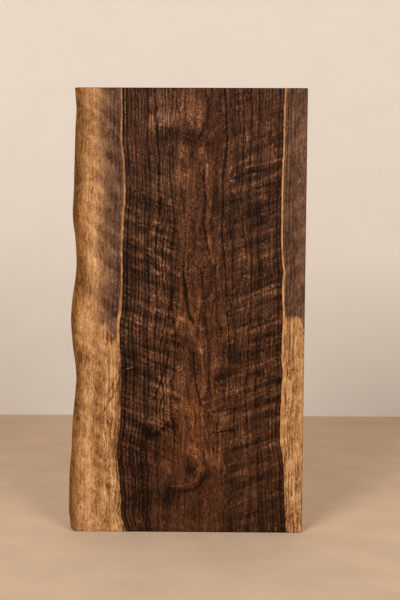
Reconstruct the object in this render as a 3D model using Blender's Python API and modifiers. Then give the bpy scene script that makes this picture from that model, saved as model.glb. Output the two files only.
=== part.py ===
"""A live-edge black walnut board, standing upright on its lower sawn end.

The board is a slab sawn lengthwise out of a log. Its front, back, right edge and both ends are
flat saw cuts. Its left edge is the outside of the log itself, with the bark taken off, so it
waves along the board and leans inward from the front face to the back face, which lies farther
from the pith. The corner between it and the front face is worn to a round shoulder. Metres, +Z up.
The origin is under the middle of the board, on the surface it stands on, the front face looks
along -Y and the sawn edge is at +X.
"""

import math

import bmesh
import bpy
from mathutils import Vector, noise

# Driving dimensions of the slab
BOARD_HEIGHT = 0.610
BOARD_THICKNESS = 0.048
BOARD_WIDTH = 0.326

# Where the log's pith lies: measured in from the sawn edge, and out in front of the front face
PITH_FROM_SAWN_EDGE = 0.139
PITH_IN_FRONT = 0.036

# The worn shoulder between the live edge and the front face
SHOULDER_WIDTH = 0.006
SHOULDER_DEPTH = 0.008

# The live edge's outline: height above the foot, and how much narrower the board is there
LOG_WAIST = (
    (0.000, 0.0003),
    (0.030, 0.0005),
    (0.060, 0.0014),
    (0.090, 0.0023),
    (0.122, 0.0048),
    (0.156, 0.0062),
    (0.179, 0.0085),
    (0.201, 0.0110),
    (0.218, 0.0118),
    (0.235, 0.0105),
    (0.257, 0.0080),
    (0.290, 0.0057),
    (0.312, 0.0061),
    (0.334, 0.0081),
    (0.356, 0.0112),
    (0.373, 0.0129),
    (0.389, 0.0129),
    (0.411, 0.0117),
    (0.433, 0.0088),
    (0.446, 0.0084),
    (0.476, 0.0099),
    (0.519, 0.0114),
    (0.562, 0.0130),
    (0.583, 0.0140),
    (0.610, 0.0125),
)

# Low lumps on the surface that was under the bark
LUMP_HEIGHT = 0.0008
LUMP_LENGTH = 0.055
LUMP_WIDTH = 0.016

# The sheet that stands for the log's surface reaches past the slab on every side, and its columns
# stand closer together toward the front, where it rounds the shoulder
SHEET_OVERHANG = 0.012
SHEET_FRONT_OVERHANG = 0.004
SHEET_WIDTH = 0.066
SHEET_COLUMNS = 15
SHEET_CROWDING = 1.5
SHEET_STEP_UP = 0.006
SHEET_DEPTH = 0.050

SAWN_EDGE_X = BOARD_WIDTH / 2
FRONT_Y = -BOARD_THICKNESS / 2
PITH_X = SAWN_EDGE_X - PITH_FROM_SAWN_EDGE

WOOD_COLOUR = (0.082, 0.033, 0.017, 1.0)
WOOD_ROUGHNESS = 0.55


def clear_scene():
    """Remove whatever the file holds."""
    for old in list(bpy.data.objects):
        bpy.data.objects.remove(old)


def new_collection(name):
    """Make a collection in the scene."""
    collection = bpy.data.collections.new(name)
    bpy.context.scene.collection.children.link(collection)
    return collection


def waist_at(height):
    """How much narrower than at the foot the board is at this height: a curve through LOG_WAIST."""
    last = len(LOG_WAIST) - 1
    i = 0
    while i < last - 1 and LOG_WAIST[i + 1][0] < height:
        i += 1
    before, start, end, after = (LOG_WAIST[min(max(k, 0), last)] for k in (i - 1, i, i + 1, i + 2))
    span = end[0] - start[0]
    t = min(max((height - start[0]) / span, 0.0), 1.0)
    slope_in = (end[1] - before[1]) / (end[0] - before[0]) * span
    slope_out = (after[1] - start[1]) / (after[0] - start[0]) * span
    return (
        (2 * t**3 - 3 * t**2 + 1) * start[1]
        + (t**3 - 2 * t**2 + t) * slope_in
        + (3 * t**2 - 2 * t**3) * end[1]
        + (t**3 - t**2) * slope_out
    )


def lump_at(behind, height):
    """How far the log's surface bulges at this depth behind the front face and this height."""
    place = Vector((behind / LUMP_WIDTH, height / LUMP_LENGTH, 0.0))
    return LUMP_HEIGHT * noise.noise(place)


def live_edge_point(behind, height):
    """The point of the log's surface at this depth behind the front face and this height."""
    reach = BOARD_WIDTH - PITH_FROM_SAWN_EDGE - waist_at(height)
    radius = math.hypot(reach, PITH_IN_FRONT + SHOULDER_DEPTH) + lump_at(behind, height)
    away = PITH_IN_FRONT + max(behind, SHOULDER_DEPTH)
    worn = max(0.0, 1.0 - behind / SHOULDER_DEPTH)
    x = PITH_X - math.sqrt(radius * radius - away * away) + SHOULDER_WIDTH * worn * worn
    return Vector((x, FRONT_Y + behind, height))


def make_slab(collection):
    """The sawn slab, wide enough to reach out of the log on the left."""
    left = -SAWN_EDGE_X - SHEET_OVERHANG
    mesh = bpy.data.meshes.new("walnut_board")
    bm = bmesh.new()
    bmesh.ops.create_cube(bm, size=1.0)
    bmesh.ops.scale(bm, vec=(SAWN_EDGE_X - left, BOARD_THICKNESS, BOARD_HEIGHT), verts=bm.verts)
    bmesh.ops.translate(bm, vec=((SAWN_EDGE_X + left) / 2, 0.0, BOARD_HEIGHT / 2), verts=bm.verts)
    bm.to_mesh(mesh)
    bm.free()
    slab = bpy.data.objects.new("walnut_board", mesh)
    collection.objects.link(slab)
    return slab


def make_log_surface(collection):
    """A sheet bent to the log's surface, thickened outward, that cuts the live edge."""
    low, high = -SHEET_OVERHANG, BOARD_HEIGHT + SHEET_OVERHANG
    rows = round((high - low) / SHEET_STEP_UP)
    mesh = bpy.data.meshes.new("log_surface_cutter")
    bm = bmesh.new()
    bmesh.ops.create_grid(bm, x_segments=SHEET_COLUMNS, y_segments=rows, size=0.5)
    for v in bm.verts:
        share = max(0.0, 0.5 - v.co.x)
        behind = SHEET_WIDTH * share**SHEET_CROWDING - SHEET_FRONT_OVERHANG
        v.co = live_edge_point(behind, low + (v.co.y + 0.5) * (high - low))
    bm.to_mesh(mesh)
    bm.free()
    cutter = bpy.data.objects.new("log_surface_cutter", mesh)
    cutter.hide_render = True
    cutter.display_type = "WIRE"
    collection.objects.link(cutter)
    thicken = cutter.modifiers.new("thicken", "SOLIDIFY")
    thicken.thickness = SHEET_DEPTH
    thicken.offset = 1.0
    return cutter


def cut_live_edge(slab, cutter):
    """Take away the part of the slab outside the log."""
    cut = slab.modifiers.new("live_edge", "BOOLEAN")
    cut.operation = "DIFFERENCE"
    cut.solver = "EXACT"
    cut.object = cutter


def wood_material():
    """Plain walnut colour."""
    material = bpy.data.materials.new("walnut")
    material.use_nodes = True
    shader = material.node_tree.nodes["Principled BSDF"]
    shader.inputs["Base Color"].default_value = WOOD_COLOUR
    shader.inputs["Roughness"].default_value = WOOD_ROUGHNESS
    shader.inputs["Metallic"].default_value = 0.0
    return material


def main():
    """Build the board."""
    clear_scene()
    parts = new_collection("black_walnut_board")
    cutters = new_collection("cutters")
    slab = make_slab(parts)
    cut_live_edge(slab, make_log_surface(cutters))
    slab.data.materials.append(wood_material())


main()
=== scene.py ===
"""Looks of a live-edge black walnut board that stands on its lower sawn end.

The board is one piece of solid wood, so its shape is one closed mesh and its finish is one log:
pith, growth rings, stained sapwood and curly figure are worked out in three dimensions round the
pith, and every face shows the cut that it makes through them. Lengths in the mesh are in metres,
lengths in the finishes are in millimetres.
"""

import logging
import math
from dataclasses import dataclass, field
from enum import Enum

import bmesh
import bpy
from mathutils import Matrix, Vector, noise

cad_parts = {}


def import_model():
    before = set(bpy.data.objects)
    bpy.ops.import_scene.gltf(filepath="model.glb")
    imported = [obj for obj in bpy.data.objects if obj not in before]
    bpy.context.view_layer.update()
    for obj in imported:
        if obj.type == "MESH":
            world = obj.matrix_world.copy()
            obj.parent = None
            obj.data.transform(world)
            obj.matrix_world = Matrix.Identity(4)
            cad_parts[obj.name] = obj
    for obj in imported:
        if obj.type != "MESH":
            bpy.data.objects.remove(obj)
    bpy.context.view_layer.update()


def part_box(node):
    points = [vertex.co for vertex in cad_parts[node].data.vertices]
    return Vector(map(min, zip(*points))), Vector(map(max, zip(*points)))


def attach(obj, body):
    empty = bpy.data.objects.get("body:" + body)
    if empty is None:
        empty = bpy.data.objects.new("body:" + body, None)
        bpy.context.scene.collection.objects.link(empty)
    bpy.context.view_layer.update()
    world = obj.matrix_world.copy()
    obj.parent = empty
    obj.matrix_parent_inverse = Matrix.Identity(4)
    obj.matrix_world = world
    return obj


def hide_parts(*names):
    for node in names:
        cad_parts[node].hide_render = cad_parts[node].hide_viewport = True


LOG = logging.getLogger("walnut_board")
NODE = "walnut_board"
BODY = "root"
MILLIMETRES = 1000.0

Colour = tuple[float, float, float, float]
Point = tuple[float, float]
Stops = tuple[tuple[float, Colour], ...]
Value = "Wire | float | tuple[float, float, float] | Colour"


def srgb(red: int, green: int, blue: int) -> Colour:
    """Turn a colour as seen on a screen into the linear colour that a shader takes.

    Args:
        red: Red from 0 to 255.
        green: Green from 0 to 255.
        blue: Blue from 0 to 255.

    Returns:
        The linear colour, with an alpha of 1.
    """
    shares = [c / 255.0 for c in (red, green, blue)]
    linear = [s / 12.92 if s <= 0.04045 else ((s + 0.055) / 1.055) ** 2.4 for s in shares]
    return (linear[0], linear[1], linear[2], 1.0)


def smoothstep(value: float, low: float, high: float) -> float:
    """Rise smoothly from 0 at low to 1 at high."""
    t = min(max((value - low) / (high - low), 0.0), 1.0)
    return t * t * (3.0 - 2.0 * t)


@dataclass(frozen=True)
class WalnutLog:
    """The log that the board was sawn from, round a pith that runs straight up.

    Attributes:
        pith_from_sawn_edge: How far the pith lies in from the sawn edge, in metres.
        pith_in_front: How far the pith lies in front of the front face, in metres.
        shoulder_width: How far the worn shoulder takes the live edge in at the front face.
        shoulder_depth: How far behind the front face the shoulder ends.
        waist: Height, and how much narrower than at the foot the board is there, in metres.
        lump_height: Height of the low lumps under the bark.
        lump_length: Length of a lump along the grain.
        lump_width: Width of a lump round the log.
    """

    pith_from_sawn_edge: float = 0.139
    pith_in_front: float = 0.036
    shoulder_width: float = 0.006
    shoulder_depth: float = 0.008
    waist: tuple[Point, ...] = (
        (0.000, 0.0003), (0.030, 0.0005), (0.060, 0.0014), (0.090, 0.0023), (0.122, 0.0048),
        (0.156, 0.0062), (0.179, 0.0085), (0.201, 0.0110), (0.218, 0.0118), (0.235, 0.0105),
        (0.257, 0.0080), (0.290, 0.0057), (0.312, 0.0061), (0.334, 0.0081), (0.356, 0.0112),
        (0.373, 0.0129), (0.389, 0.0129), (0.411, 0.0117), (0.433, 0.0088), (0.446, 0.0084),
        (0.476, 0.0099), (0.519, 0.0114), (0.562, 0.0130), (0.583, 0.0140), (0.610, 0.0125),
    )
    lump_height: float = 0.0008
    lump_length: float = 0.055
    lump_width: float = 0.016

    def waist_at(self, height: float) -> float:
        """Smooth curve through the waist's points.

        Args:
            height: Height above the foot.

        Returns:
            How much narrower than at the foot the board is there.
        """
        last = len(self.waist) - 1
        i = 0
        while i < last - 1 and self.waist[i + 1][0] < height:
            i += 1
        near = (self.waist[min(max(k, 0), last)] for k in (i - 1, i, i + 1, i + 2))
        before, start, end, after = near
        span = end[0] - start[0]
        t = min(max((height - start[0]) / span, 0.0), 1.0)
        slope_in = (end[1] - before[1]) / (end[0] - before[0]) * span
        slope_out = (after[1] - start[1]) / (after[0] - start[0]) * span
        return (
            (2 * t**3 - 3 * t**2 + 1) * start[1]
            + (t**3 - 2 * t**2 + t) * slope_in
            + (3 * t**2 - 2 * t**3) * end[1]
            + (t**3 - t**2) * slope_out
        )


@dataclass(frozen=True)
class Slab:
    """The slab's box and its place in the log, in metres.

    Attributes:
        low: Lowest corner of the slab.
        high: Highest corner of the slab.
        log: The log that it was sawn from.
    """

    low: Vector
    high: Vector
    log: WalnutLog = field(default_factory=WalnutLog)

    @property
    def height(self) -> float:
        """Length of the board along the grain."""
        return self.high.z - self.low.z

    @property
    def thickness(self) -> float:
        """Thickness of the board."""
        return self.high.y - self.low.y

    @property
    def pith(self) -> Point:
        """Where the pith stands, across and behind."""
        return (self.high.x - self.log.pith_from_sawn_edge, self.low.y - self.log.pith_in_front)

    @property
    def reach(self) -> float:
        """How far the board reaches to the left of the pith at the foot."""
        return self.high.x - self.low.x - self.log.pith_from_sawn_edge

    @property
    def widest_depth(self) -> float:
        """How far behind the pith the board is widest: at the end of the worn shoulder."""
        return self.log.pith_in_front + self.log.shoulder_depth


@dataclass(frozen=True)
class BarkSide:
    """The surface that was under the bark: ridges along the grain, and a torn foot corner.

    Attributes:
        ridges: Width round the log, length along the grain and depth of each size of ridge.
        seam_width: Width of the rare deeper seams.
        seam_length: Length of the rare deeper seams.
        seam_depth: Depth of the rare deeper seams.
        tear_height: How far up the foot the torn corner reaches.
        tear_depth: How much wood is gone from it.
        tear_jag: How much the torn edge rises and falls.
        tooth_width: Width of one tooth of the torn edge.
        corner_height: How far up the foot the corner is knocked round.
        corner_depth: How far in it is knocked.
    """

    ridges: tuple[tuple[float, float, float], ...] = (
        (0.0046, 0.070, 0.00055),
        (0.0021, 0.032, 0.00038),
        (0.0010, 0.012, 0.00018),
    )
    seam_width: float = 0.0060
    seam_length: float = 0.090
    seam_depth: float = 0.0009
    tear_height: float = 0.0215
    tear_depth: float = 0.0016
    tear_jag: float = 0.0060
    tooth_width: float = 0.0045
    corner_height: float = 0.0090
    corner_depth: float = 0.0045

    def cut_at(self, behind: float, height: float) -> float:
        """Depth that the ridges, seams and tear take off the log's surface.

        Args:
            behind: Distance behind the front face.
            height: Height above the foot.

        Returns:
            The depth in metres, never below zero.
        """
        depth = 0.0
        for index, (width, length, tall) in enumerate(self.ridges):
            place = Vector((behind / width, height / length, 7.3 * index))
            depth += tall * (0.5 + 0.5 * noise.noise(place))
        seam = noise.noise(Vector((behind / self.seam_width, height / self.seam_length, 41.0)))
        depth += self.seam_depth * smoothstep(seam, 0.25, 0.60)
        jag = self.tear_jag * noise.noise(Vector((behind / self.tooth_width, 3.0, 11.0)))
        torn = 1.0 - smoothstep(height, self.tear_height + jag - 0.002, self.tear_height + jag)
        depth += self.tear_depth * torn * smoothstep(behind, 0.002, 0.007)
        knocked = max(0.0, 1.0 - height / self.corner_height)
        return depth + self.corner_depth * knocked * knocked


class Face(Enum):
    """The board's faces, by the number of their material slot."""

    PLANED = 0
    SAWN_EDGE = 1
    END_GRAIN = 2
    LIVE_EDGE = 3


@dataclass
class BoardWood:
    """The board's wood: one closed block of quads with eased arrises and a natural left edge.

    Attributes:
        slab: The slab's box and log.
        bark_side: Surface of the live edge.
        ease: Radius that the arrises are rubbed to.
        row_step: Height of a row of quads.
        layer_step: Thickness of a layer of quads.
        columns: How many columns of quads lie between the eased arrises.
    """

    slab: Slab
    bark_side: BarkSide = field(default_factory=BarkSide)
    ease: float = 0.0008
    row_step: float = 0.0015
    layer_step: float = 0.00080
    columns: int = 22

    def stations(self, length: float, step: float) -> list[float]:
        """Places of the block's lines along one side, close together at the eased arrises.

        Args:
            length: Length of the side.
            step: Distance between lines in the middle.

        Returns:
            The places, from 0 to the length.
        """
        near = [0.0, 0.3 * self.ease, self.ease]
        inner = length - 2 * self.ease
        count = max(2, round(inner / step))
        middle = [self.ease + inner * k / count for k in range(1, count)]
        return near + middle + [length - d for d in reversed(near)]

    def live_edge_x(self, y: float, height: float) -> float:
        """Where the live edge lies.

        Args:
            y: Place through the board's thickness.
            height: Height above the foot.

        Returns:
            The edge's place across the board.
        """
        slab, log = self.slab, self.slab.log
        behind = y - slab.low.y
        spot = Vector((behind / log.lump_width, height / log.lump_length, 0.0))
        lump = log.lump_height * noise.noise(spot)
        radius = math.hypot(slab.reach - log.waist_at(height), slab.widest_depth) + lump
        away = log.pith_in_front + max(behind, log.shoulder_depth)
        worn = max(0.0, 1.0 - behind / log.shoulder_depth)
        edge = slab.pith[0] - math.sqrt(radius * radius - away * away)
        return edge + log.shoulder_width * worn * worn + self.bark_side.cut_at(behind, height)

    def eased(self, corner: Vector, size: Vector) -> Vector:
        """Move a point of the block's surface onto the eased arris.

        Args:
            corner: The point, measured from the block's lowest corner.
            size: The block's size.

        Returns:
            The point on the eased block.
        """
        core = Vector(min(max(c, self.ease), s - self.ease) for c, s in zip(corner, size))
        away = corner - core
        if away.length < 1e-9:
            return corner
        return core + away.normalized() * self.ease

    def mesh(self) -> bpy.types.Mesh:
        """Build the block's surface.

        Returns:
            A closed mesh whose faces name their finish.
        """
        slab = self.slab
        width = slab.high.x - slab.low.x
        size = Vector((width, slab.thickness, slab.height))
        across = self.stations(size.x, size.x / self.columns)
        through = self.stations(size.y, self.layer_step)
        up = self.stations(size.z, self.row_step)
        lasts = (len(across) - 1, len(through) - 1, len(up) - 1)
        bm = bmesh.new()
        verts: dict[tuple[int, int, int], bmesh.types.BMVert] = {}

        def vert(key: tuple[int, int, int]) -> bmesh.types.BMVert:
            """The vertex at a crossing of the block's lines, made when first asked for.

            Args:
                key: Number of the line across, through and up.

            Returns:
                The vertex.
            """
            if key not in verts:
                flat = Vector((across[key[0]], through[key[1]], up[key[2]]))
                a, b, c = self.eased(flat, size)
                y = slab.low.y + b
                left = self.live_edge_x(y, c)
                x = slab.high.x - (size.x - a) / size.x * (slab.high.x - left)
                verts[key] = bm.verts.new((x, y, slab.low.z + c))
            return verts[key]

        def sheet(fixed: int, at: int, turned: bool, face: Face) -> None:
            """One side of the block, as quads between its lines.

            Args:
                fixed: The axis that the side is square to.
                at: Number of the line on that axis where the side lies.
                turned: Whether its quads are turned over, to face outward.
                face: Which face of the board it is.
            """
            first, second = [axis for axis in range(3) if axis != fixed]
            for i in range(lasts[first]):
                for j in range(lasts[second]):
                    keys = []
                    for di, dj in ((0, 0), (1, 0), (1, 1), (0, 1)):
                        key = [0, 0, 0]
                        key[fixed] = at
                        key[first] = i + di
                        key[second] = j + dj
                        keys.append(tuple(key))
                    if turned:
                        keys.reverse()
                    quad = bm.faces.new([vert(key) for key in keys])
                    quad.material_index = face.value
                    quad.smooth = True

        sheet(1, 0, False, Face.PLANED)
        sheet(1, lasts[1], True, Face.PLANED)
        sheet(0, 0, True, Face.LIVE_EDGE)
        sheet(0, lasts[0], False, Face.SAWN_EDGE)
        sheet(2, 0, True, Face.END_GRAIN)
        sheet(2, lasts[2], False, Face.END_GRAIN)
        mesh = bpy.data.meshes.new("board_wood")
        bm.to_mesh(mesh)
        bm.free()
        return mesh

    def build(self, finishes: "WalnutFinishes") -> bpy.types.Object:
        """Make the board and dress it.

        Args:
            finishes: The finishes of its faces.

        Returns:
            The finished board.
        """
        board = bpy.data.objects.new("board_wood", self.mesh())
        bpy.context.scene.collection.objects.link(board)
        for material in finishes.materials():
            board.data.materials.append(material)
        return board


class Wire:
    """A value in a shader tree that can be added, multiplied and so on like a number."""

    def __init__(self, graph: "Graph", socket: bpy.types.NodeSocket) -> None:
        """Hold an output socket of a graph."""
        self.graph = graph
        self.socket = socket

    def __add__(self, other: "Value") -> "Wire":
        """Add."""
        return self.graph.math("ADD", self, other)

    def __radd__(self, other: "Value") -> "Wire":
        """Add to a number."""
        return self.graph.math("ADD", other, self)

    def __sub__(self, other: "Value") -> "Wire":
        """Take away."""
        return self.graph.math("SUBTRACT", self, other)

    def __rsub__(self, other: "Value") -> "Wire":
        """Take from a number."""
        return self.graph.math("SUBTRACT", other, self)

    def __mul__(self, other: "Value") -> "Wire":
        """Multiply."""
        return self.graph.math("MULTIPLY", self, other)

    def __rmul__(self, other: "Value") -> "Wire":
        """Multiply a number."""
        return self.graph.math("MULTIPLY", other, self)

    def __truediv__(self, other: "Value") -> "Wire":
        """Divide."""
        return self.graph.math("DIVIDE", self, other)


class Graph:
    """Lays nodes in one shader tree and wires them."""

    def __init__(self, tree: bpy.types.ShaderNodeTree) -> None:
        """Work in a tree."""
        self.tree = tree

    def node(self, kind: str, **settings: object) -> bpy.types.Node:
        """Add a node.

        Args:
            kind: The node's type, without its ShaderNode prefix.
            **settings: Properties to set on it.

        Returns:
            The node.
        """
        node = self.tree.nodes.new("ShaderNode" + kind)
        for name, value in settings.items():
            setattr(node, name, value)
        return node

    def feed(self, socket: bpy.types.NodeSocket, value: "Value") -> None:
        """Wire a value to an input, or set the input to a number or colour.

        Args:
            socket: The input.
            value: The wire, number or colour.
        """
        if isinstance(value, Wire):
            self.tree.links.new(value.socket, socket)
        else:
            socket.default_value = value

    def math(self, operation: str, *values: "Value") -> Wire:
        """A Math node.

        Args:
            operation: What it does.
            *values: Its inputs.

        Returns:
            The result.
        """
        node = self.node("Math", operation=operation)
        for socket, value in zip(node.inputs, values):
            self.feed(socket, value)
        return Wire(self, node.outputs[0])

    def share(self, value: "Value") -> Wire:
        """Keep a value between 0 and 1.

        Args:
            value: The value.

        Returns:
            The value, or the nearer end.
        """
        node = self.node("Clamp")
        self.feed(node.inputs[0], value)
        return Wire(self, node.outputs[0])

    def vector(self, operation: str, *values: "Value") -> Wire:
        """A Vector Math node.

        Args:
            operation: What it does.
            *values: Its inputs.

        Returns:
            The resulting vector, or number where the operation gives one.
        """
        node = self.node("VectorMath", operation=operation)
        for socket, value in zip(node.inputs, values):
            self.feed(socket, value)
        single = operation in ("DOT_PRODUCT", "LENGTH", "DISTANCE")
        return Wire(self, node.outputs["Value" if single else "Vector"])

    def scaled(self, vector: Wire, share: "Value") -> Wire:
        """A vector made longer or shorter.

        Args:
            vector: The vector.
            share: How many times as long it becomes.

        Returns:
            The new vector.
        """
        node = self.node("VectorMath", operation="SCALE")
        self.feed(node.inputs["Vector"], vector)
        self.feed(node.inputs["Scale"], share)
        return Wire(self, node.outputs["Vector"])

    def parts(self, vector: Wire) -> tuple[Wire, Wire, Wire]:
        """The three numbers of a vector.

        Args:
            vector: The vector.

        Returns:
            Its numbers.
        """
        node = self.node("SeparateXYZ")
        self.feed(node.inputs[0], vector)
        return tuple(Wire(self, output) for output in node.outputs)

    def joined(self, x: "Value", y: "Value", z: "Value") -> Wire:
        """A vector from three numbers.

        Args:
            x: The first.
            y: The second.
            z: The third.

        Returns:
            The vector.
        """
        node = self.node("CombineXYZ")
        for socket, value in zip(node.inputs, (x, y, z)):
            self.feed(socket, value)
        return Wire(self, node.outputs[0])

    def step(self, value: Wire, low: "Value", high: "Value", ends: Point = (0.0, 1.0)) -> Wire:
        """Go smoothly from one end to the other.

        Args:
            value: The value that is looked at.
            low: Where the first end holds.
            high: Where the second end holds.
            ends: The two ends.

        Returns:
            The first end, the second or a number between them.
        """
        node = self.node("MapRange", interpolation_type="SMOOTHSTEP", clamp=False)
        names = ("Value", "From Min", "From Max", "To Min", "To Max")
        for name, entry in zip(names, (value, low, high) + ends):
            self.feed(node.inputs[name], entry)
        return Wire(self, node.outputs[0])

    def fall(self, value: Wire, low: "Value", high: "Value") -> Wire:
        """Fall smoothly from 1 at low to 0 at high."""
        return self.step(value, low, high, (1.0, 0.0))

    def band(self, value: Wire, low: float, high: float, soft: float) -> Wire:
        """1 between low and high, with soft sides."""
        return self.step(value, low - soft, low + soft) * self.fall(value, high - soft, high + soft)

    def between(self, share: "Value", first: "Value", second: "Value") -> Wire:
        """A number part of the way from the first to the second.

        Args:
            share: How far, from 0 to 1.
            first: The first number.
            second: The second number.

        Returns:
            The number.
        """
        node = self.node("Mix", data_type="FLOAT")
        self.feed(node.inputs[0], share)
        self.feed(node.inputs[2], first)
        self.feed(node.inputs[3], second)
        return Wire(self, node.outputs[0])

    def tint(self, share: "Value", first: "Value", second: "Value", how: str = "MIX") -> Wire:
        """A colour part of the way from the first to the second.

        Args:
            share: How far, from 0 to 1.
            first: The first colour.
            second: The second colour.
            how: How the second is laid on the first.

        Returns:
            The colour.
        """
        node = self.node("Mix", data_type="RGBA", blend_type=how)
        self.feed(node.inputs[0], share)
        self.feed(node.inputs[6], first)
        self.feed(node.inputs[7], second)
        return Wire(self, node.outputs[2])

    def ramp(self, value: Wire, stops: Stops) -> Wire:
        """A colour ramp.

        Args:
            value: Where on the ramp.
            stops: Places from 0 to 1 with their colours.

        Returns:
            The colour.
        """
        node = self.node("ValToRGB")
        elements = node.color_ramp.elements
        while len(elements) < len(stops):
            elements.new(0.5)
        for element, (place, colour) in zip(elements, stops):
            element.position = place
            element.color = colour
        self.feed(node.inputs[0], value)
        return Wire(self, node.outputs[0])

    def curve(self, value: Wire, points: tuple[Point, ...], reach: float) -> Wire:
        """A smooth curve through points.

        Args:
            value: Where on the curve, in the points' own units.
            points: Places with their heights, in rising order of place.
            reach: The largest height, either way, that the curve has room for.

        Returns:
            The height of the curve there.
        """
        first, last = points[0][0], points[-1][0]
        node = self.node("FloatCurve")
        node.mapping.extend = "HORIZONTAL"
        spots = node.mapping.curves[0].points
        while len(spots) < len(points):
            spots.new(0.5, 0.5)
        for spot, (place, height) in zip(spots, points):
            spot.location = ((place - first) / (last - first), 0.5 + 0.5 * height / reach)
        node.mapping.update()
        self.feed(node.inputs["Value"], (value - first) / (last - first))
        return (Wire(self, node.outputs[0]) - 0.5) * (2.0 * reach)

    def noise(self, place: Wire, size: tuple[float, float, float], seed: float = 0.0,
              detail: float = 2.0, rough: float = 0.5, colour: bool = False) -> Wire:
        """Soft noise.

        Args:
            place: Where, in millimetres.
            size: Size of its grains in each direction.
            seed: Moves the pattern, so that two noises differ.
            detail: How many finer noises are laid on it.
            rough: How strong the finer ones are.
            colour: Whether three noises come out as one colour.

        Returns:
            The noise, about 0.5 on average, or about 0 in each part where it is a colour.
        """
        spread = self.vector("MULTIPLY_ADD", place, tuple(1.0 / s for s in size),
                             (seed * 1.7, seed * 2.3 + 5.0, seed * 3.1))
        node = self.node("TexNoise")
        self.feed(node.inputs["Vector"], spread)
        self.feed(node.inputs["Scale"], 1.0)
        self.feed(node.inputs["Detail"], detail)
        self.feed(node.inputs["Roughness"], rough)
        if colour:
            return self.vector("SUBTRACT", Wire(self, node.outputs[1]), (0.5, 0.5, 0.5))
        return Wire(self, node.outputs[0])

    def surface_place(self) -> Wire:
        """Where the surface is on its object, in millimetres."""
        spot = self.node("TexCoord")
        return self.scaled(Wire(self, spot.outputs["Object"]), MILLIMETRES)

    def chance(self, value: Wire) -> Wire:
        """A number from 0 to 1 by chance, the same for the same value.

        Args:
            value: The value.

        Returns:
            The number.
        """
        node = self.node("TexWhiteNoise", noise_dimensions="1D")
        self.feed(node.inputs["W"], value)
        return Wire(self, node.outputs[0])

    def place(self, effect: "Effect", **inputs: "Value") -> dict[str, Wire]:
        """Place a shared effect.

        Args:
            effect: The effect.
            **inputs: Its inputs, by name with _ for a space.

        Returns:
            Its outputs by name.
        """
        node = self.node("Group")
        node.node_tree = effect.tree()
        for name, value in inputs.items():
            self.feed(node.inputs[name.replace("_", " ")], value)
        return {output.name: Wire(self, output) for output in node.outputs}


class Kind(Enum):
    """The kinds of socket that the shared effects have."""

    NUMBER = "NodeSocketFloat"
    VECTOR = "NodeSocketVector"
    COLOUR = "NodeSocketColor"


# The input that every shared effect but the growth rings has: where, in millimetres.
PLACE = ("Place", Kind.VECTOR, 0.0)


def numbers(*names: str) -> tuple[tuple[str, Kind], ...]:
    """Outputs of a shared effect that are numbers."""
    return tuple((name, Kind.NUMBER) for name in names)


class Effect:
    """A shader node group that is built the first time it is placed."""

    name: str = ""
    inputs: tuple[tuple[str, Kind, float], ...] = ()
    outputs: tuple[tuple[str, Kind], ...] = ()

    def tree(self) -> bpy.types.ShaderNodeTree:
        """The group's tree, built if there is none yet.

        Returns:
            The tree.
        """
        found = bpy.data.node_groups.get(self.name)
        if found is not None:
            return found
        tree = bpy.data.node_groups.new(self.name, "ShaderNodeTree")
        for name, kind, default in self.inputs:
            socket = tree.interface.new_socket(name=name, in_out="INPUT", socket_type=kind.value)
            if kind is Kind.NUMBER:
                socket.default_value = default
        for name, kind in self.outputs:
            tree.interface.new_socket(name=name, in_out="OUTPUT", socket_type=kind.value)
        graph = Graph(tree)
        entry = tree.nodes.new("NodeGroupInput")
        leave = tree.nodes.new("NodeGroupOutput")
        given = {name: Wire(graph, entry.outputs[name]) for name, _, _ in self.inputs}
        for name, wire in self.wire(graph, given).items():
            graph.feed(leave.inputs[name], wire)
        return tree

    def wire(self, graph: Graph, given: dict[str, Wire]) -> dict[str, Wire]:
        """Lay the group's nodes.

        Args:
            graph: The group's graph.
            given: The group's inputs.

        Returns:
            The group's outputs.
        """
        raise NotImplementedError


class StrokeEffect(Effect):
    """A straight stroke with soft sides that narrows from one end to the other."""

    name = "stroke"
    inputs = (
        PLACE, ("From", Kind.VECTOR, 0.0), ("To", Kind.VECTOR, 0.0),
        ("Half From", Kind.NUMBER, 1.0), ("Half To", Kind.NUMBER, 1.0), ("Soft", Kind.NUMBER, 1.0),
    )
    outputs = numbers("Mask")

    def wire(self, graph: Graph, given: dict[str, Wire]) -> dict[str, Wire]:
        """Distance from the stroke's middle line, less its width there.

        Args:
            graph: The group's graph.
            given: The group's inputs.

        Returns:
            The group's outputs.
        """
        along = graph.vector("SUBTRACT", given["To"], given["From"])
        out = graph.vector("SUBTRACT", given["Place"], given["From"])
        length = graph.vector("DOT_PRODUCT", along, along)
        share = graph.share(graph.vector("DOT_PRODUCT", out, along) / length)
        away = graph.vector("DISTANCE", out, graph.scaled(along, share))
        half = graph.between(share, given["Half From"], given["Half To"])
        return {"Mask": graph.fall(away - half, 0.0, given["Soft"])}


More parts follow.
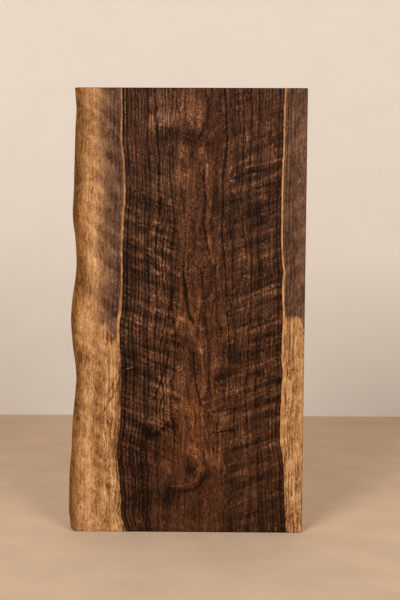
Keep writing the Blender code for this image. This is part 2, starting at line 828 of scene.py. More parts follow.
class PatchEffect(Effect):
    """A leaning oval with soft sides."""

    name = "patch"
    inputs = (
        PLACE, ("Middle", Kind.VECTOR, 0.0), ("Half Size", Kind.VECTOR, 0.0),
        ("Lean", Kind.NUMBER, 0.0), ("Soft", Kind.NUMBER, 0.5),
    )
    outputs = numbers("Mask")

    def wire(self, graph: Graph, given: dict[str, Wire]) -> dict[str, Wire]:
        """Distance from the oval's middle in half sizes.

        Args:
            graph: The group's graph.
            given: The group's inputs.

        Returns:
            The group's outputs.
        """
        turn = graph.node("VectorRotate", rotation_type="Y_AXIS")
        graph.feed(turn.inputs["Vector"], given["Place"])
        graph.feed(turn.inputs["Center"], given["Middle"])
        graph.feed(turn.inputs["Angle"], given["Lean"])
        out = graph.vector("SUBTRACT", Wire(graph, turn.outputs[0]), given["Middle"])
        away = graph.vector("LENGTH", graph.vector("DIVIDE", out, given["Half Size"]))
        return {"Mask": graph.fall(away, 1.0 - given["Soft"], 1.0 + given["Soft"])}


@dataclass(frozen=True)
class LogPlaceEffect(Effect):
    """Where a point lies in the log: round the pith, and among the growth rings.

    The ring place is the distance from the pith, drawn in and out so that one value of it is the
    edge between heartwood and sapwood, and another is the live edge, at every height.

    Attributes:
        slab: The slab and its log.
        heart_radius: Ring place of the heartwood's edge.
        outer_radius: Ring place of the live edge.
        left_edge: Height, and how far out the heartwood's left edge lies there.
        right_edge: Height, and how far out the heartwood's right edge lies there.
        edge_reach: Largest distance, either way, that the edges' curves have room for.
        waist_reach: The same for the curve of the live edge's waist.
        slant: How far out from the pith one goes for each millimetre across the front face.
    """

    slab: Slab
    heart_radius: float = 115.3
    outer_radius: float = 175.3
    left_edge: tuple[Point, ...] = (
        (0.0, -4.0), (10.0, -1.0), (19.0, 2.0), (31.0, 4.0), (45.0, 3.6), (60.0, 4.6), (88.0, 6.2),
        (116.0, 8.8), (130.0, 7.6), (144.0, 5.5), (158.0, 3.8), (186.0, 3.6), (215.0, 2.2),
        (242.0, 2.8), (262.0, 4.4), (273.0, 4.4), (284.0, 4.6), (296.0, 3.8), (310.0, 1.9),
        (324.0, 0.9), (352.0, 0.1), (393.0, 0.2), (414.0, -0.6), (433.0, -1.6), (447.0, -2.6),
        (461.0, -4.0), (475.0, -4.2), (500.0, -3.5), (527.0, -1.6), (541.0, 0.2), (567.0, -0.4),
        (610.0, 0.1),
    )
    right_edge: tuple[Point, ...] = (
        (0.0, 8.6), (33.0, 5.8), (61.0, 4.5), (89.0, 3.6), (110.0, 1.6), (132.0, -1.9),
        (160.0, -2.1), (187.0, -1.2), (208.0, -0.6), (226.0, 0.8), (243.0, -1.4), (298.0, -0.4),
        (346.0, -1.8), (362.0, -0.4), (374.0, -1.6), (407.0, -3.8), (441.0, -4.0), (488.0, -3.8),
        (541.0, -2.4), (581.0, -2.2), (610.0, -1.0),
    )
    edge_reach: float = 12.0
    waist_reach: float = 16.0
    slant: float = 0.95
    name = "log_place"
    inputs = (PLACE,)
    outputs = numbers("Across", "Radius", "Ring", "Height", "Left")

    def wire(self, graph: Graph, given: dict[str, Wire]) -> dict[str, Wire]:
        """Lay the log's coordinates.

        Args:
            graph: The group's graph.
            given: The group's inputs.

        Returns:
            The group's outputs.
        """
        x, y, z = graph.parts(given["Place"])
        across = x - self.slab.pith[0] * MILLIMETRES
        behind = y - self.slab.pith[1] * MILLIMETRES
        radius = graph.vector("LENGTH", graph.joined(across, behind, 0.0))
        left = graph.fall(across, -25.0, 25.0)
        out = graph.between(left, graph.curve(z, self.right_edge, self.edge_reach),
                            graph.curve(z, self.left_edge, self.edge_reach)) * self.slant
        heart = out + self.heart_radius
        waist = tuple((h * MILLIMETRES, w * MILLIMETRES) for h, w in self.slab.log.waist)
        reach = self.slab.reach * MILLIMETRES - graph.curve(z, waist, self.waist_reach)
        depth = self.slab.widest_depth * MILLIMETRES
        bark = graph.vector("LENGTH", graph.joined(reach, depth, 0.0))
        sap_share = (radius - heart) / (bark - heart)
        room = self.outer_radius - self.heart_radius
        sap_ring = graph.between(left, radius - out, sap_share * room + self.heart_radius)
        follow = graph.step(radius, 52.0, self.heart_radius)
        low = graph.noise(given["Place"], (26.0, 26.0, 120.0), 1.0, detail=1.0, colour=True)
        fine = graph.noise(given["Place"], (9.0, 9.0, 10.0), 2.0, colour=True)
        loose = graph.fall(radius, 52.0, 108.0)
        bend = (graph.parts(low)[0] * (loose * 22.0 + 1.2)
                + graph.parts(fine)[0] * (loose * 3.0 + 2.0))
        heart_ring = radius - out * follow + bend
        inside = graph.fall(radius - heart, -3.0, 3.0)
        ring = graph.between(inside, sap_ring + graph.parts(fine)[0] * 1.1, heart_ring)
        return {"Across": across, "Radius": radius, "Ring": ring, "Height": z, "Left": left}


class FibreEffect(Effect):
    """Long fibres and short crinkles of the grain, and the open pores between them."""

    name = "fibre"
    inputs = (PLACE, ("Seed", Kind.NUMBER, 0.0))
    outputs = numbers("Long", "Short", "Crinkle", "Pore", "Dash")

    def wire(self, graph: Graph, given: dict[str, Wire]) -> dict[str, Wire]:
        """Noises at their own sizes; the first three run from -1 to 1.

        Args:
            graph: The group's graph.
            given: The group's inputs.

        Returns:
            The group's outputs.
        """
        shift = graph.joined(given["Seed"] * 31.0, given["Seed"] * 17.0, given["Seed"] * 57.0)
        place = graph.vector("ADD", given["Place"], shift)

        def crisp(size: tuple[float, float, float], seed: float) -> Wire:
            """Noise with its middle values spread apart."""
            soft = graph.noise(place, size, seed, rough=0.65)
            return graph.step(soft, 0.33, 0.67) * 2.0 - 1.0

        grains = graph.noise(place, (0.34, 0.34, 3.6), 6.0, detail=0.0)
        dashes = graph.noise(place, (1.5, 1.5, 13.0), 6.5, detail=1.0)
        return {"Long": crisp((1.9, 1.9, 46.0), 3.0), "Short": crisp((1.5, 1.5, 8.0), 4.0),
                "Crinkle": crisp((1.7, 1.7, 2.3), 5.0), "Pore": graph.step(grains, 0.64, 0.74),
                "Dash": graph.step(dashes, 0.60, 0.70)}


class RingsEffect(Effect):
    """Growth rings: a pale early band and a dark late line in each year."""

    name = "growth_rings"
    inputs = (
        ("Ring", Kind.NUMBER, 0.0), ("Height", Kind.NUMBER, 0.0), ("Year", Kind.NUMBER, 4.3),
    )
    outputs = numbers("Line", "Shade")

    def wire(self, graph: Graph, given: dict[str, Wire]) -> dict[str, Wire]:
        """Number the years, then draw each year's late line with its own strength.

        Args:
            graph: The group's graph.
            given: The group's inputs.

        Returns:
            The group's outputs.
        """
        ring = given["Ring"]
        wander = graph.noise(graph.joined(ring, 0.0, 0.0), (13.0, 1.0, 1.0), 7.0, detail=1.0)
        years = ring / given["Year"] + wander * 1.1
        year = graph.math("FLOOR", years)
        share = graph.math("FRACT", years)
        strength = graph.chance(year)
        fade = graph.noise(graph.joined(year * 9.0, 0.0, given["Height"]), (1.0, 1.0, 60.0), 8.0)
        line = graph.step(share, 0.40, 0.75) * graph.fall(share, 0.86, 1.0)
        return {"Line": line * (strength * 0.5 + 0.5) * graph.step(fade, 0.15, 0.50),
                "Shade": graph.chance(year + 0.5)}


@dataclass(frozen=True)
class CurlEffect(Effect):
    """Curly figure: dark and pale bands across the grain that rise toward the outside; the wavy
    fibre is the wood's own, and the bands' pale and dark are partly painted sheen.

    Attributes:
        rise: How steeply the bands rise.
        right_darks: Where the dark bands of the right half cross the pith plane, and how dark.
        left_darks: Where the dark bands of the left half cross the pith plane, and how dark.
        crest: How far the wood between two dark bands is raised, against their depths.
        reach: Largest depth that the bands' curves have room for.
    """

    rise: float = 0.33
    right_darks: tuple[Point, ...] = (
        (20.0, 0.5), (52.0, 0.6), (78.0, 0.4), (106.0, 0.6), (134.0, 0.5), (160.0, 0.5),
        (178.0, 0.4), (198.0, 1.0), (229.0, 0.7), (245.0, 0.7), (281.0, 0.6), (294.0, 0.7),
        (324.0, 0.6), (340.0, 0.7), (379.0, 0.7), (403.0, 0.6), (423.0, 0.7), (451.0, 1.0),
        (473.0, 0.8), (508.0, 0.6), (540.0, 0.5), (566.0, 0.4),
    )
    left_darks: tuple[Point, ...] = (
        (-10.0, 0.3), (30.0, 0.4), (62.0, 0.3), (95.0, 0.4), (128.0, 0.5), (152.0, 0.4),
        (172.0, 0.6), (196.0, 0.7), (216.0, 0.6), (236.0, 0.6), (255.0, 0.6), (277.0, 0.6),
        (302.0, 0.5), (326.0, 0.5), (345.0, 0.5), (366.0, 0.8), (391.0, 0.4), (428.0, 0.5),
        (470.0, 0.5), (512.0, 0.3), (560.0, 0.2),
    )
    crest: float = 0.42
    reach: float = 1.2
    name = "curl_figure"
    inputs = (
        PLACE, ("Across", Kind.NUMBER, 0.0), ("Height", Kind.NUMBER, 0.0),
        ("Left", Kind.NUMBER, 0.0),
    )
    outputs = numbers("Tone")

    def crests(self, darks: tuple[Point, ...]) -> tuple[Point, ...]:
        """Points of a curve that dips at each dark band and rises between them.

        Args:
            darks: Places and depths of the dark bands.

        Returns:
            The curve's points.
        """
        points: list[Point] = []
        for here, after in zip(darks, darks[1:]):
            points.append((here[0], -here[1]))
            points.append(((here[0] + after[0]) / 2.0, (here[1] + after[1]) * self.crest))
        points.append((darks[-1][0], -darks[-1][1]))
        return tuple(points)

    def wire(self, graph: Graph, given: dict[str, Wire]) -> dict[str, Wire]:
        """Bands on each half, broken up along their length.

        Args:
            graph: The group's graph.
            given: The group's inputs.

        Returns:
            The group's outputs.
        """
        outward = graph.math("ABSOLUTE", given["Across"])
        wobble = graph.noise(given["Place"], (16.0, 16.0, 24.0), 9.0, colour=True)
        level = given["Height"] - outward * self.rise + graph.parts(wobble)[2] * 13.0
        right = graph.curve(level, self.crests(self.right_darks), self.reach)
        left = graph.curve(level, self.crests(self.left_darks), self.reach)
        broken = graph.noise(given["Place"], (26.0, 26.0, 9.0), 10.0, detail=1.0)
        curly = graph.step(outward, 14.0, 52.0)
        tone = graph.between(given["Left"], right, left) * curly
        return {"Tone": tone * graph.step(broken, 0.28, 0.66)}


class RippleEffect(Effect):
    """Fine ripples across the grain that rise toward the outside of the log."""

    name = "ripple"
    inputs = (
        PLACE, ("Across", Kind.NUMBER, 0.0), ("Rise", Kind.NUMBER, 0.33),
        ("Pitch", Kind.NUMBER, 6.0), ("Length", Kind.NUMBER, 30.0),
    )
    outputs = numbers("Tone")

    def wire(self, graph: Graph, given: dict[str, Wire]) -> dict[str, Wire]:
        """Noise drawn out along the ripples, from -1 to 1.

        Args:
            graph: The group's graph.
            given: The group's inputs.

        Returns:
            The group's outputs.
        """
        x, y, z = graph.parts(given["Place"])
        outward = graph.math("ABSOLUTE", given["Across"])
        level = (z - outward * given["Rise"]) / given["Pitch"]
        flat = graph.joined(x / given["Length"], y / given["Length"], level)
        soft = graph.noise(flat, (1.0, 1.0, 1.0), 11.0)
        return {"Tone": graph.step(soft, 0.36, 0.70) * 2.0 - 0.8}


def even_stops(*colours: tuple[int, int, int]) -> Stops:
    """Stops of a colour ramp, evenly apart.

    Args:
        *colours: Colours as seen on a screen, from the darkest.

    Returns:
        Places from 0 to 1 with their colours.
    """
    last = len(colours) - 1
    return tuple((k / last, srgb(*colour)) for k, colour in enumerate(colours))


@dataclass(frozen=True)
class WoodTones:
    """Colour ramps of the wood, from its darkest to its palest tone.

    Attributes:
        heart: The heartwood.
        sap: The clear sapwood.
        rim: The sapwood along the live edge.
        stain: The sapwood with the brown stain.
        line: The pale line round the heartwood.
        warming: What the heartwood's colour is multiplied by where it is warmest.
    """

    heart: Stops = (
        (0.00, srgb(19, 9, 4)), (0.20, srgb(38, 20, 11)), (0.40, srgb(60, 36, 22)),
        (0.55, srgb(80, 50, 32)), (0.70, srgb(103, 68, 46)), (0.85, srgb(129, 89, 62)),
        (1.00, srgb(160, 120, 88)),
    )
    sap: Stops = even_stops(
        (86, 53, 26), (133, 88, 48), (170, 121, 76), (198, 148, 100), (224, 181, 134))
    rim: Stops = even_stops(
        (55, 31, 12), (90, 54, 23), (124, 79, 38), (153, 102, 53), (186, 133, 77))
    stain: Stops = even_stops(
        (42, 25, 16), (67, 43, 31), (94, 64, 48), (124, 89, 68), (162, 124, 98))
    line: Stops = even_stops((112, 76, 50), (166, 112, 68), (208, 148, 94))
    warming: Colour = (1.22, 0.98, 0.74, 1.0)


@dataclass(frozen=True)
class WoodEffect(Effect):
    """The walnut itself: heartwood, the pale line round it, stained sapwood and clear sapwood.

    Attributes:
        log_place: The log's coordinates.
        curl: The curly figure.
        tones: The colour ramps.
        ring_bands: Ring place, and how much paler the heartwood is there.
        left_figure: Height, and how strong the curly figure of the left half is there.
        right_figure: Height, and how strong the curly figure of the right half is there.
        sap_levels: Share of the way out through the sapwood, and how much paler it is there; the
            drop at the very end is painted shade on the live edge.
        clear_levels: The same for the clear sapwood of the left half alone.
        stain_depth: Share of the way out, and how strong the left half's stain is there.
        stain_foot_left: Height of the stain's foot in the left half.
        stain_foot_right: Height of the stain's foot in the right half.
    """

    log_place: LogPlaceEffect
    curl: CurlEffect = field(default_factory=CurlEffect)
    tones: WoodTones = field(default_factory=WoodTones)
    ring_bands: tuple[Point, ...] = (
        (36.0, 0.0), (45.0, 0.2), (51.1, 0.5), (56.5, -0.6), (61.4, 0.4), (65.4, -0.9),
        (70.7, 0.5), (75.4, -0.9), (79.6, 0.5), (85.2, -0.7), (92.2, 0.6), (97.8, -0.6),
        (102.3, 0.5), (108.0, -0.5), (113.5, -1.0), (117.6, 0.0),
    )
    left_figure: tuple[Point, ...] = (
        (0.0, 0.15), (70.0, 0.15), (110.0, 0.4), (150.0, 0.8), (210.0, 0.8), (260.0, 1.0),
        (420.0, 1.0), (470.0, 0.5), (520.0, 0.15), (610.0, 0.1),
    )
    right_figure: tuple[Point, ...] = (
        (0.0, 0.4), (60.0, 0.5), (120.0, 0.7), (300.0, 0.75), (400.0, 0.65), (500.0, 0.7),
        (560.0, 0.4), (610.0, 0.3),
    )
    # The drop at share 1.0 is painted shade on the live edge, where it rounds away from the light
    # at the silhouette.
    sap_levels: tuple[Point, ...] = (
        (0.0, 0.02), (0.30, 0.0), (0.50, 0.06), (0.56, 0.04), (0.62, -0.07), (0.70, -0.13),
        (0.78, -0.06), (0.86, -0.03), (0.95, -0.01), (1.0, -0.16),
    )
    clear_levels: tuple[Point, ...] = (
        (0.0, -0.30), (0.04, -0.25), (0.08, -0.14), (0.15, -0.04), (0.22, -0.02), (0.30, 0.0),
        (0.37, -0.13), (0.44, -0.18), (0.51, -0.16), (0.58, 0.02), (0.64, 0.15), (0.70, 0.08),
        (0.78, 0.05), (0.88, 0.0),
    )
    stain_depth: tuple[Point, ...] = (
        (0.0, 1.0), (0.14, 1.0), (0.23, 0.90), (0.32, 0.78), (0.40, 0.64), (0.45, 0.52),
        (0.50, 0.36), (0.55, 0.18), (0.60, 0.07), (0.66, 0.0),
    )
    stain_foot_left: float = 266.0
    stain_foot_right: float = 302.0
    name = "walnut_wood"
    inputs = (PLACE, ("Mark", Kind.NUMBER, 0.0), ("Warmth", Kind.NUMBER, 0.0))
    outputs = (("Colour", Kind.COLOUR),) + numbers("Height", "Roughness")

    def wire(self, graph: Graph, given: dict[str, Wire]) -> dict[str, Wire]:
        """The sapwood and the pale line, laid over the heartwood.

        Args:
            graph: The group's graph.
            given: The group's inputs.

        Returns:
            The group's outputs.
        """
        grain = self.grain(graph, given)
        heart = self.heartwood(graph, grain)
        sap = self.sapwood(graph, grain)
        edge = self.log_place.heart_radius
        outside = graph.step(grain["Ring"], edge - 0.5, edge + 0.3)
        line, pale = self.pale_line(graph, grain)
        wood = graph.tint(outside, heart, graph.tint(line * 0.92, sap, pale))
        relief = (grain["Long"] + grain["Short"]) * 0.2 - grain["Pore"] * 0.8
        return {"Colour": wood, "Height": relief + grain["Curl"] * 0.3,
                "Roughness": grain["Crinkle"] * 0.06 + 0.50}

    def grain(self, graph: Graph, given: dict[str, Wire]) -> dict[str, Wire]:
        """What heartwood and sapwood are both drawn with.

        Args:
            graph: The group's graph.
            given: The group's inputs.

        Returns:
            The inputs, with the log's coordinates, fibres, rings and figure beside them.
        """
        place = given["Place"]
        spot = graph.place(self.log_place, Place=place)
        across, height = spot["Across"], spot["Height"]
        crinkled = graph.noise(place, (14.0, 14.0, 6.5), 24.0, detail=1.0, colour=True)
        bowed = graph.noise(place, (15.0, 15.0, 42.0), 26.0, detail=1.0, colour=True)
        bent = graph.vector("MULTIPLY_ADD", crinkled, (3.2, 0.0, 0.0), place)
        bent = graph.vector("MULTIPLY_ADD", bowed, (14.0, 0.0, 0.0), bent)
        fibre = graph.place(FibreEffect(), Place=bent)
        rings = graph.place(RingsEffect(), Ring=spot["Ring"], Height=height)
        curl = graph.place(self.curl, Place=place, Across=across, Height=height,
                           Left=spot["Left"])
        ripple = graph.place(RippleEffect(), Place=place, Across=across, Rise=0.4, Pitch=5.6,
                             Length=46.0)
        sway = graph.place(RippleEffect(), Place=place, Across=across, Rise=0.7, Pitch=13.0,
                           Length=34.0)
        return {**given, **spot, **fibre, **rings, "Curl": curl["Tone"],
                "Ripple": ripple["Tone"], "Sway": sway["Tone"]}

    def heartwood(self, graph: Graph, grain: dict[str, Wire]) -> Wire:
        """Colour of the heartwood.

        Args:
            graph: The group's graph.
            grain: What the wood is drawn with.

        Returns:
            The colour.
        """
        place, height, left = grain["Place"], grain["Height"], grain["Left"]
        broad = graph.noise(place, (30.0, 30.0, 80.0), 12.0)
        bands = graph.curve(grain["Ring"], self.ring_bands, 1.2)
        curly = graph.step(graph.math("ABSOLUTE", grain["Across"]), 18.0, 50.0)
        patchy = graph.step(graph.noise(place, (15.0, 15.0, 20.0), 16.0, detail=1.0), 0.38, 0.60)
        figured = graph.between(left, graph.curve(height, self.right_figure, 1.0),
                                graph.curve(height, self.left_figure, 1.0)) * curly
        calm = graph.fall(height, 90.0, 160.0) * graph.fall(grain["Radius"], 70.0, 90.0) * 0.8
        tone = (
            0.48 - graph.fall(height, 70.0, 170.0) * 0.06
            + grain["Long"] * 0.10 + grain["Short"] * 0.09
            + grain["Crinkle"] * (patchy * 0.12 + 0.07) * (1.0 - calm * 0.5)
            - grain["Pore"] * 0.08 - grain["Dash"] * 0.13 + bands * 0.06
            # The curl term is the curly figure, partly painted sheen.
            + grain["Curl"] * (figured * 0.15 + 0.08)
            + grain["Ripple"] * (figured * (patchy * 0.14 + 0.04) + 0.03)
            + (broad - 0.5) * 0.15 + (grain["Shade"] - 0.5) * 0.12
            - grain["Line"] * (curly * 0.08 + left * curly * 0.20 + 0.14) * (1.0 - calm)
            + grain["Mark"]
        )
        heart = graph.ramp(tone, self.tones.heart)
        warm = (
            graph.noise(place, (34.0, 34.0, 60.0), 13.0) - 0.04 - curly * 0.34
            + graph.fall(height, 60.0, 420.0) * 0.27 + grain["Warmth"]
        )
        return graph.tint(graph.share(warm), heart, self.tones.warming, "MULTIPLY")

    def sapwood(self, graph: Graph, grain: dict[str, Wire]) -> Wire:
        """Colour of the sapwood: clear, then stained above the stain's foot, then the rim.

        Args:
            graph: The group's graph.
            grain: What the wood is drawn with.

        Returns:
            The colour.
        """
        place, height, left = grain["Place"], grain["Height"], grain["Left"]
        edge = self.log_place.heart_radius
        share = (grain["Ring"] - edge) / (self.log_place.outer_radius - edge)
        blotch = graph.noise(place, (11.0, 11.0, 16.0), 14.0, detail=3.0, rough=0.6) - 0.5
        smudge = graph.noise(place, (9.0, 9.0, 38.0), 27.0) - 0.5
        level = graph.curve(share, self.sap_levels, 0.3)
        clear_level = graph.curve(share, self.clear_levels, 0.3)
        left_foot = share * 70.0 + self.stain_foot_left
        right_foot = graph.fall(share, 0.36, 0.52) * 26.0 + (self.stain_foot_right - 26.0)
        foot = graph.between(left, right_foot, left_foot) + blotch * 14.0
        soft = graph.between(left, 3.5, 8.0)
        above = graph.step(height, foot - soft, foot + soft)
        inside = graph.curve(share + blotch * 0.14 + grain["Sway"] * 0.03, self.stain_depth, 1.0)
        stained = above * graph.between(left, 0.94, inside)
        near = graph.fall(share, 0.22, 0.42) * (1.0 - above)
        tone = (
            0.50 + level + grain["Long"] * (near * 0.14 + 0.09) + grain["Short"] * 0.12
            + grain["Crinkle"] * 0.11 - grain["Pore"] * 0.08
            - grain["Dash"] * (near * 0.12 + 0.14) + blotch * (0.55 - above * 0.15)
            + (1.0 - above) * left * (clear_level + 0.04) + left * 0.02 - 0.01
            + smudge * 0.45 + grain["Sway"] * 0.08
            - grain["Line"] * (graph.fall(share, 0.12, 0.40) * (0.28 - left * 0.12) + 0.07)
            + grain["Mark"]
        )
        sap = graph.ramp(tone, self.tones.sap)
        stain = graph.ramp(tone - level * 0.5 - blotch * 0.25 - 0.06, self.tones.stain)
        sap = graph.tint(stained, sap, stain)
        wavy = graph.band(height, 300.0, 430.0, 40.0) * 0.03
        rim = graph.step(share + blotch * 0.08 + above * 0.04 + wavy, 0.71, 0.91)
        return graph.tint(rim * 0.96, sap, graph.ramp(tone - 0.04, self.tones.rim))

    def pale_line(self, graph: Graph, grain: dict[str, Wire]) -> tuple[Wire, Wire]:
        """The thin pale line where heartwood meets sapwood.

        Args:
            graph: The group's graph.
            grain: What the wood is drawn with.

        Returns:
            Where the line is, and its colour.
        """
        ring, height, left = grain["Ring"], grain["Height"], grain["Left"]
        edge = self.log_place.heart_radius
        width = graph.between(left, graph.band(height, 296.0, 366.0, 20.0) * 0.7 + 1.5,
                              graph.band(height, 262.0, 330.0, 16.0) * 1.2 + 1.7)
        above = graph.step(height, graph.between(left, 120.0, 256.0),
                           graph.between(left, 160.0, 270.0))
        line = (graph.step(ring, edge - 0.2, edge + 0.5)
                * graph.fall(ring - width, edge, edge + 0.8) * above)
        uneven = graph.step(graph.noise(grain["Place"], (30.0, 30.0, 9.0), 25.0), 0.34, 0.66)
        dim = (graph.step(height, 300.0, 330.0) * left * 0.14
               + graph.step(height, 500.0, 600.0) * 0.12)
        tone = grain["Short"] * 0.20 + uneven * 0.40 + graph.between(left, 0.62, 0.42) - dim
        return line, graph.ramp(tone, self.tones.line)


@dataclass(frozen=True)
class Stroke:
    """A drawn-out mark on the front face.

    Attributes:
        points: Across and height of its points, in millimetres.
        halves: Half its width at its two ends.
        soft: Width of its soft sides.
        tone: How much paler it is than the wood round it, or darker below zero.
        warmth: How much more orange it is.
    """

    points: tuple[Point, ...]
    halves: Point = (0.5, 0.5)
    soft: float = 1.2
    tone: float = -0.25
    warmth: float = 0.0


@dataclass(frozen=True)
class Patch:
    """An oval mark on the front face.

    Attributes:
        middle: Across and height of its middle, in millimetres.
        half: Half its width and half its height.
        lean: How far it leans to the right, in degrees.
        soft: Share of its size over which it fades.
        tone: How much paler it is than the wood round it, or darker below zero.
        warmth: How much more orange it is.
    """

    middle: Point
    half: Point
    lean: float = 0.0
    soft: float = 0.5
    tone: float = 0.1
    warmth: float = 0.0


@dataclass(frozen=True)
class FrontMarks(Effect):
    """The figure that belongs to the front face alone: streaks, patches, a small knot and a swirl.

    Attributes:
        slab: The slab, whose front face carries the marks.
        nearness: Share of its depth behind the face by which a point counts as off a mark.
        speck: Half width under which an oval is a speck, with clean sides.
        strokes: The drawn-out marks.
        patches: The ovals.
    """

    slab: Slab
    nearness: float = 0.25
    speck: float = 2.0
    strokes: tuple[Stroke, ...] = (
        # The long dark line right of the middle, and thin ones beside it.
        Stroke(((51.5, 610), (54, 587), (56, 541), (54.5, 527.5), (52, 514.5), (49.5, 490),
                (51, 467.5), (50, 440.5), (48.5, 413.5), (51.5, 393.5), (54.5, 359.5), (56, 325),
                (60.5, 263.5), (61, 187)), (1, 0.3), 1, -0.36),
        Stroke(((59.5, 440.5), (61, 407)), (0.5, 0.5), 1.1, -0.28),
        Stroke(((77, 557), (77.5, 507)), (0.4, 0.4), 1.1, -0.3),
        Stroke(((86.5, 567), (88, 440), (90.5, 284)), (0.4, 0.3), 1, -0.22),
        # The warm streak above the middle, and the dark lines round it.
        Stroke(((28, 507.5), (28, 481), (32, 460.5), (31, 440.5), (28.5, 427), (32.5, 406.5),
                (35, 393), (38, 377)), (1, 1.4), 3.2, 0.2, 0.25),
        Stroke(((24, 494), (25.5, 474), (28, 460.5), (24, 440.5), (24, 427), (28.5, 406.5),
                (32.5, 386.5)), (0.5, 0.5), 1.8, -0.22),
        Stroke(((24, 606), (28.5, 597), (30, 587), (29, 572), (26, 558), (19.5, 547)),
                (0.7, 1.2), 1.6, -0.24),
        Stroke(((-4.5, 530), (-3, 494)), (1.5, 0.8), 3, 0.1),
        Stroke(((-39, 520), (-35.5, 480.5), (-30, 450)), (0.6, 0.5), 1.4, -0.14),
        # The dark wedges and the arch below the middle.
        Stroke(((-2.5, 364), (1, 331)), (0, 1.3), 2, -0.36),
        Stroke(((1, 329), (3.5, 308.5), (11, 292)), (1.3, 0.3), 2.2, -0.36),
        Stroke(((21, 368), (25.5, 327)), (0, 1.3), 2.4, -0.28),
        Stroke(((25.5, 325), (27.5, 290.5), (32, 263), (32, 214.5), (36.5, 189.5)),
                (1.2, 0.3), 2.6, -0.2),
        Stroke(((-18.5, 337), (-20.5, 314), (-23, 300)), (1.6, 0.4), 2.6, -0.32),
        Stroke(((-17.5, 281), (-9.5, 297.5), (0, 300), (8.5, 285), (14, 267), (21, 253.5)),
                (1.5, 1), 4, 0.18, 0.25),
        Stroke(((20.5, 292), (23.5, 239.5), (27, 198)), (1.2, 0.8), 2.4, 0.17, 0.2),
        # Thin dark curves below the arch.
        Stroke(((-23, 253), (-25.5, 235), (-31, 221.5), (-36.5, 203), (-42, 189)),
                (0.7, 0.9), 1.1, -0.38),
        Stroke(((-26.5, 233), (-33, 218), (-38.5, 203)), (0.3, 0.3), 1.2, 0.18),
        Stroke(((-28.5, 193.5), (-34, 183.5), (-35, 169.5)), (0.7, 0.5), 1.1, -0.38),
        Stroke(((11.5, 252), (13, 221.5), (15.5, 203.5), (20, 189.5), (21.5, 180)),
                (0.6, 0.8), 1.2, -0.36),
        # The dark knot at the left.
        Stroke(((-49, 152), (-45, 146)), (0.8, 0.4), 2.4, -0.3),
        Stroke(((-38, 143), (-26, 148), (-12, 150)), (1.2, 0.2), 4, -0.18),
        Stroke(((-44, 170), (-38, 158), (-33, 150)), (0.8, 0.5), 2.4, 0.2, -0.2),
        Stroke(((-55, 143), (-47, 138), (-37, 138.5)), (1.8, 0.4), 5, -0.3),
        # The swirl near the foot, with its arc and its light line.
        Stroke(((17, 123), (25, 112), (30, 97), (29, 84), (23, 71), (12, 61), (-5, 58)),
                (0.2, 1.2), 3, -0.2),
        Stroke(((22, 168), (26, 150), (33, 129), (40, 108), (46, 92)), (0.3, 0.8), 1.8, 0.17, 0.2),
        Stroke(((33, 156), (37, 136), (46, 110), (51, 92)), (0.2, 0.5), 1.5, 0.15, 0.1),
        Stroke(((46, 124), (55, 91)), (0.3, 0.5), 1.4, 0.2, 0.1),
        Stroke(((37, 122), (43, 100)), (0.3, 0.3), 1.3, -0.24),
        Stroke(((-20, 65.5), (-5, 66), (8, 69), (17, 76)), (0.4, 0.3), 0.9, 0.24, 0.3),
        Stroke(((18, 78), (22, 87), (21, 99), (14, 110)), (0.3, 0.3), 1.3, 0.14, 0.1),
        Stroke(((6, 122), (20, 116), (34, 101)), (0.3, 0.3), 1.6, 0.12),
        Stroke(((8, 114), (19, 108), (27, 96)), (0.2, 0.2), 1.2, -0.16),
        Stroke(((0, 110), (12, 105), (18, 94)), (0.2, 0.2), 1.2, -0.14),
        # Curly streaks on both sides; their pale and dark bands are partly painted sheen of the
        # curly figure.
        Stroke(((-71, 411), (-54, 400), (-38, 384), (-29, 375)), (0.9, 0.7), 2.6, 0.17, -0.3),
        Stroke(((-79, 401), (-54, 388.5), (-40, 375)), (1, 0.5), 2.6, -0.2),
        Stroke(((-68, 386), (-50, 374), (-36, 360)), (0.6, 0.6), 2.4, 0.08, -0.3),
        Stroke(((-50, 413), (-34, 402)), (0.5, 0.5), 2.2, 0.09, -0.3),
        Stroke(((45, 217), (64, 226), (86, 231), (106, 222), (130, 215)), (1.8, 1), 5, -0.18),
        Stroke(((86, 498), (108, 501), (132, 506)), (1, 0.8), 2.5, -0.2),
        Stroke(((84, 505), (108, 510), (132, 516)), (0.7, 0.9), 2.2, 0.16, -0.1),
        # Scratches and short lines.
        Stroke(((38, 170), (71, 176)), (0.3, 0.3), 1.2, -0.24),
        Stroke(((43.5, 141), (65.5, 145)), (0.4, 0.3), 1.2, -0.24),
        Stroke(((99, 546), (123, 545)), (0.2, 0.2), 1.2, -0.18),
        Stroke(((-80.5, 229.5), (-76, 230), (-71.5, 232)), (0.15, 0.1), 0.5, 0.9, 0.2),
        Stroke(((137.5, 230.5), (158, 228)), (0.2, 0.2), 0.7, -0.22),
        # Lines in the left sapwood.
        Stroke(((-88, 224), (-93, 206), (-102, 188), (-112, 170)), (0.6, 0.4), 2, -0.2),
        Stroke(((-95, 222), (-101, 204), (-110, 190)), (0.6, 0.4), 2, -0.18),
        Stroke(((-81, 610), (-81.5, 560), (-80, 535)), (0.35, 0.2), 0.8, 0.38, 0.2),
        Stroke(((-83.5, 610), (-83.5, 545)), (0.3, 0.3), 0.9, -0.3),
    )
